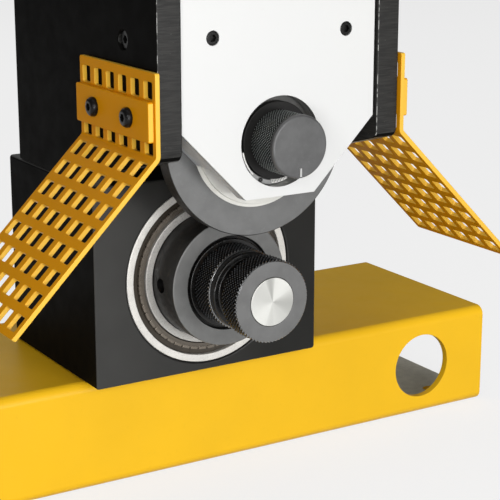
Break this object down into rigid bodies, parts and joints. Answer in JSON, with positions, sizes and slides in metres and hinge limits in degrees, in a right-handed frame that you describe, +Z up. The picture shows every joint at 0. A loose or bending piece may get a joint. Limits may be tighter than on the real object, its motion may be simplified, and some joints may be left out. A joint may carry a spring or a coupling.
{
  "type": "roll grooving machine",
  "caption": "Bench roll groover: a knurled drive roll turns a pipe while an upper roll on a sliding ram presses a groove into it. Box base, folded perforated guards and a hand pump.",
  "frame": {"origin": "centre of the base's underside, on the bench", "axes": "+Z up, +X to the right of a person who faces the rolls, -Y towards that person, who feeds the pipe in along +Y"},
  "size_m": [0.4488, 0.2602, 0.6466],
  "materials": {
    "yellow_paint": "gloss powder coat",
    "black_paint": "satin paint",
    "white_paint": "smooth satin paint",
    "blacked_steel": "black oxide",
    "ground_steel": "ground",
    "roll_steel": "hardened, turned and knurled",
    "bright_steel": "polished bearing steel",
    "cage_steel": "pressed, oiled",
    "bronze": "turned",
    "rubber": "moulded"
  },
  "bodies": {
    "frame": {"base_tube": "yellow_paint", "bearing_block": "black_paint", "block_bolt_left": "blacked_steel", "block_bolt_right": "blacked_steel", "front_bearing_outer_ring": "bright_steel", "rear_bearing_outer_ring": "bright_steel", "side_plate_left": "black_paint", "side_plate_right": "black_paint", "back_plate": "black_paint", "crown_plate": "black_paint", "guide_key_left": "ground_steel", "guide_key_right": "ground_steel", "key_screw_left_lower": "blacked_steel", "key_screw_left_upper": "blacked_steel", "key_screw_right_lower": "blacked_steel", "key_screw_right_upper": "blacked_steel", "clamp_bar_left": "yellow_paint", "clamp_bar_right": "yellow_paint", "guard_screw_left_front": "blacked_steel", "guard_screw_left_rear": "blacked_steel", "guard_screw_right_front": "blacked_steel", "guard_screw_right_rear": "blacked_steel", "cylinder_body": "black_paint", "filler_plug": "ground_steel", "gland_ring": "bronze", "pump_block": "black_paint", "lever_pin": "ground_steel"},
    "drive": {"drive_shaft": "blacked_steel", "nose_set_screw": "blacked_steel", "shaft_nut": "blacked_steel", "front_bearing_inner_ring": "bright_steel", "rear_bearing_inner_ring": "bright_steel", "drive_roll": "roll_steel", "roll_end_disc": "bright_steel", "draw_bolt": "blacked_steel"},
    "balls": {"ball_cage": "cage_steel"},
    "ram": {"face_plate": "white_paint", "face_screw_left": "blacked_steel", "face_screw_right": "blacked_steel", "front_cheek": "black_paint", "ram_spacer": "blacked_steel", "rear_cheek": "black_paint", "ram_head": "blacked_steel", "dial_ring": "ground_steel", "dial_stop_plate": "ground_steel", "stop_plate_screw": "blacked_steel", "piston_rod": "ground_steel", "roll_axle": "ground_steel", "front_thrust_washer": "ground_steel", "rear_thrust_washer": "bronze"},
    "roll": {"upper_roll": "roll_steel", "roll_bush": "bronze"},
    "knob": {"depth_knob": "blacked_steel"},
    "left_guard": {"guard_left": "yellow_paint"},
    "right_guard": {"guard_right": "yellow_paint"},
    "lever": {"pump_lever": "blacked_steel", "lever_grip": "rubber"},
    "plunger": {"pump_plunger": "ground_steel"},
    "release": {"release_knob": "blacked_steel"}
  },
  "joints": [
    {"name": "ram_slide", "type": "slide", "parent": "frame", "child": "ram", "axis": [0, 0, 1], "range_m": [-0.012, 0.022]},
    {"name": "drive_spin", "type": "hinge", "parent": "frame", "child": "drive", "pos_m": [0, -0.0855, 0.1265], "axis": [0, 1, 0], "continuous": true},
    {"name": "ball_spin", "type": "hinge", "parent": "frame", "child": "balls", "pos_m": [0, -0.0749, 0.1265], "axis": [0, 1, 0], "continuous": true},
    {"name": "roll_spin", "type": "hinge", "parent": "ram", "child": "roll", "pos_m": [0, -0.1335, 0.2181], "axis": [0, 1, 0], "continuous": true},
    {"name": "depth_turn", "type": "hinge", "parent": "ram", "child": "knob", "pos_m": [0, -0.16, 0.2181], "axis": [0, 1, 0], "range_deg": [0, 270]},
    {"name": "left_guard_slide", "type": "slide", "parent": "frame", "child": "left_guard", "axis": [0, 0, 1], "range_m": [-0.0045, 0.0045]},
    {"name": "right_guard_slide", "type": "slide", "parent": "frame", "child": "right_guard", "axis": [0, 0, 1], "range_m": [-0.0045, 0.0045]},
    {"name": "lever_swing", "type": "hinge", "parent": "frame", "child": "lever", "pos_m": [0, -0.0365, 0.4727], "axis": [1, 0, 0], "range_deg": [0, 40]},
    {"name": "plunger_stroke", "type": "slide", "parent": "frame", "child": "plunger", "axis": [0, 0, 1], "range_m": [-0.019, 0]},
    {"name": "release_turn", "type": "hinge", "parent": "frame", "child": "release", "pos_m": [0.03, -0.0505, 0.4087], "axis": [1, 0, 0], "range_deg": [0, 90]}
  ],
  "couplings": [
    {"joint": "ball_spin", "follows": "drive_spin", "ratio": 0.4374},
    {"joint": "plunger_stroke", "follows": "lever_swing", "m_per_rad": -0.0262}
  ]
}
